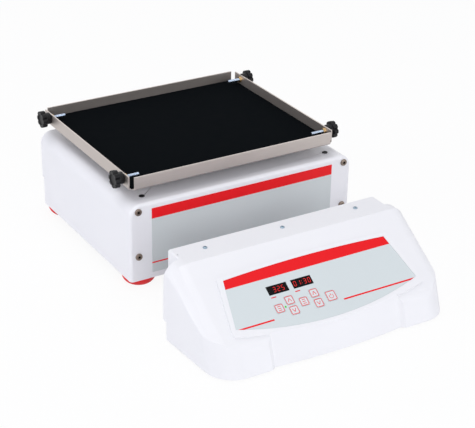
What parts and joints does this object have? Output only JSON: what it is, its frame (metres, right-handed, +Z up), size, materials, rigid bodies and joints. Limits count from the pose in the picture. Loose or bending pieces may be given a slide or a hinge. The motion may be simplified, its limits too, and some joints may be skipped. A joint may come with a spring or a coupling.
{
  "type": "orbital platform shaker with remote console",
  "caption": "Bench orbital shaker: folded steel tray with rubber mat and thumbscrews on three cranks in a white housing, with a sloping desk console beside it.",
  "frame": {"origin": "on the bench, under the middle of the shaker housing", "axes": "+X across the front to the right, +Y towards the back, +Z up; the console stands in front, towards -Y"},
  "size_m": [0.3743, 0.556, 0.1674],
  "materials": {
    "white_housing": "smooth white enamel",
    "white_console": "smooth satin moulded plastic",
    "white_panel": "fine textured white powder coat",
    "pan_steel": "light grey powder coat",
    "red_rubber": "matte moulded rubber",
    "black_rubber": "matte moulded rubber",
    "zinc_steel": "zinc plated",
    "label_grey": "printed polyester film",
    "bronze_screw": "brown oxide",
    "black_screw": "black oxide",
    "blue_zinc_screw": "blue zinc",
    "cast_aluminium": "as cast with machined seats",
    "turned_aluminium": "turned",
    "bearing_steel": "polished rings",
    "ground_steel": "turned and ground",
    "motor_black": "black anodised",
    "circuit_green": "solder mask",
    "black_plastic": "moulded",
    "socket_plastic": "moulded",
    "belt_rubber": "ground belt face",
    "stainless_sheet": "brushed stainless sheet",
    "black_mat": "fine ribbed non-slip rubber",
    "brass_bush": "turned brass",
    "overlay_grey": "printed polyester film",
    "display_black": "dark filter",
    "lamp_green": "clear tinted lens",
    "key_face": "embossed film over a pad",
    "knob_black": "moulded grip",
    "bright_stud": "bright plated thread",
    "bright_contact": "tinned blade"
  },
  "bodies": {
    "root": {"base_pan": "pan_steel", "feet": "red_rubber", "foot_screws": "zinc_steel", "top_cover": "white_housing", "front_label": "label_grey", "front_screws": "bronze_screw", "top_screws": "black_screw", "cover_brackets": "zinc_steel", "deck_plate": "cast_aluminium", "deck_posts": "zinc_steel", "deck_screws": "zinc_steel", "crank_housings": "cast_aluminium", "shaft_bearings": "bearing_steel", "drive_motor": "motor_black", "driver_board": "circuit_green", "speed_sensor": "black_plastic", "drive_belt": "belt_rubber", "console_shell": "white_console", "console_overlay": "overlay_grey", "display_windows": "display_black", "status_lamp": "lamp_green", "display_board": "circuit_green", "power_board": "circuit_green", "console_floor": "pan_steel", "console_feet": "black_rubber", "console_back": "white_panel", "shelf_screws": "blue_zinc_screw", "power_inlet": "black_plastic", "inlet_blades": "bright_contact", "switch_body": "black_plastic", "link_sockets": "socket_plastic"},
    "drive_crank_body": {"drive_crank": "ground_steel", "counterweight": "zinc_steel", "drive_pulley": "turned_aluminium"},
    "idler_left": {"idler_crank_left": "ground_steel"},
    "idler_right": {"idler_crank_right": "ground_steel"},
    "motor_rotor": {"motor_shaft": "ground_steel", "motor_pulley": "turned_aluminium"},
    "platform": {"platform_frame": "cast_aluminium", "hub_bearings": "bearing_steel", "tray": "stainless_sheet", "tray_screws": "zinc_steel", "tray_mat": "black_mat", "thumb_inserts": "brass_bush"},
    "rocker": {"switch_rocker": "black_plastic"},
    "key_speed_run_body": {"key_speed_run": "key_face"},
    "key_speed_up_body": {"key_speed_up": "key_face"},
    "key_speed_down_body": {"key_speed_down": "key_face"},
    "key_time_run_body": {"key_time_run": "key_face"},
    "key_time_up_body": {"key_time_up": "key_face"},
    "key_time_down_body": {"key_time_down": "key_face"},
    "key_power_body": {"key_power": "key_face"},
    "stud_front_left": {"thumb_stud_front_left": "bright_stud"},
    "knob_front_left": {"thumb_knob_front_left": "knob_black"},
    "stud_front_right": {"thumb_stud_front_right": "bright_stud"},
    "knob_front_right": {"thumb_knob_front_right": "knob_black"},
    "stud_rear_left": {"thumb_stud_rear_left": "bright_stud"},
    "knob_rear_left": {"thumb_knob_rear_left": "knob_black"},
    "stud_rear_right": {"thumb_stud_rear_right": "bright_stud"},
    "knob_rear_right": {"thumb_knob_rear_right": "knob_black"}
  },
  "joints": [
    {"name": "drive_spin", "type": "hinge", "parent": "root", "child": "drive_crank_body", "pos_m": [0, 0.045, 0.08], "axis": [0, 0, 1], "continuous": true},
    {"name": "platform_orbit", "type": "hinge", "parent": "drive_crank_body", "child": "platform", "pos_m": [-0.00672, 0.05172, 0.1348], "axis": [0, 0, 1], "continuous": true},
    {"name": "idler_left_spin", "type": "hinge", "parent": "root", "child": "idler_left", "pos_m": [-0.1, -0.055, 0.08], "axis": [0, 0, 1], "continuous": true},
    {"name": "idler_right_spin", "type": "hinge", "parent": "root", "child": "idler_right", "pos_m": [0.1, -0.055, 0.08], "axis": [0, 0, 1], "continuous": true},
    {"name": "motor_spin", "type": "hinge", "parent": "root", "child": "motor_rotor", "pos_m": [0, -0.072, 0.06], "axis": [0, 0, 1], "continuous": true},
    {"name": "power_rocker", "type": "hinge", "parent": "root", "child": "rocker", "pos_m": [-0.0753, -0.2466, 0.04], "axis": [1, 0, 0], "range_deg": [0, 20]},
    {"name": "press_speed_run", "type": "slide", "parent": "root", "child": "key_speed_run_body", "axis": [0, 0.549, -0.8358], "range_m": [0, 0.0004], "stiffness_N_per_m": 600},
    {"name": "press_speed_up", "type": "slide", "parent": "root", "child": "key_speed_up_body", "axis": [0, 0.549, -0.8358], "range_m": [0, 0.0004], "stiffness_N_per_m": 600},
    {"name": "press_speed_down", "type": "slide", "parent": "root", "child": "key_speed_down_body", "axis": [0, 0.549, -0.8358], "range_m": [0, 0.0004], "stiffness_N_per_m": 600},
    {"name": "press_time_run", "type": "slide", "parent": "root", "child": "key_time_run_body", "axis": [0, 0.549, -0.8358], "range_m": [0, 0.0004], "stiffness_N_per_m": 600},
    {"name": "press_time_up", "type": "slide", "parent": "root", "child": "key_time_up_body", "axis": [0, 0.549, -0.8358], "range_m": [0, 0.0004], "stiffness_N_per_m": 600},
    {"name": "press_time_down", "type": "slide", "parent": "root", "child": "key_time_down_body", "axis": [0, 0.549, -0.8358], "range_m": [0, 0.0004], "stiffness_N_per_m": 600},
    {"name": "press_power", "type": "slide", "parent": "root", "child": "key_power_body", "axis": [0, 0.549, -0.8358], "range_m": [0, 0.0004], "stiffness_N_per_m": 600},
    {"name": "screw_out_front_left", "type": "slide", "parent": "platform", "child": "stud_front_left", "axis": [-1, 0, 0], "range_m": [0, 0.012]},
    {"name": "screw_turn_front_left", "type": "hinge", "parent": "stud_front_left", "child": "knob_front_left", "pos_m": [-0.17672, -0.11028, 0.1549], "axis": [-1, 0, 0], "range_deg": [0, 5400]},
    {"name": "screw_out_front_right", "type": "slide", "parent": "platform", "child": "stud_front_right", "axis": [1, 0, 0], "range_m": [0, 0.012]},
    {"name": "screw_turn_front_right", "type": "hinge", "parent": "stud_front_right", "child": "knob_front_right", "pos_m": [0.16328, -0.11028, 0.1549], "axis": [1, 0, 0], "range_deg": [0, 5400]},
    {"name": "screw_out_rear_left", "type": "slide", "parent": "platform", "child": "stud_rear_left", "axis": [-1, 0, 0], "range_m": [0, 0.012]},
    {"name": "screw_turn_rear_left", "type": "hinge", "parent": "stud_rear_left", "child": "knob_rear_left", "pos_m": [-0.17672, 0.12372, 0.1549], "axis": [-1, 0, 0], "range_deg": [0, 5400]},
    {"name": "screw_out_rear_right", "type": "slide", "parent": "platform", "child": "stud_rear_right", "axis": [1, 0, 0], "range_m": [0, 0.012]},
    {"name": "screw_turn_rear_right", "type": "hinge", "parent": "stud_rear_right", "child": "knob_rear_right", "pos_m": [0.16328, 0.12372, 0.1549], "axis": [1, 0, 0], "range_deg": [0, 5400]}
  ],
  "couplings": [
    {"joint": "platform_orbit", "follows": "drive_spin", "ratio": -1},
    {"joint": "idler_left_spin", "follows": "drive_spin", "ratio": 1},
    {"joint": "idler_right_spin", "follows": "drive_spin", "ratio": 1},
    {"joint": "motor_spin", "follows": "drive_spin", "ratio": 4},
    {"joint": "screw_turn_front_left", "follows": "screw_out_front_left", "rad_per_m": 7854},
    {"joint": "screw_turn_front_right", "follows": "screw_out_front_right", "rad_per_m": 7854},
    {"joint": "screw_turn_rear_left", "follows": "screw_out_rear_left", "rad_per_m": 7854},
    {"joint": "screw_turn_rear_right", "follows": "screw_out_rear_right", "rad_per_m": 7854}
  ]
}
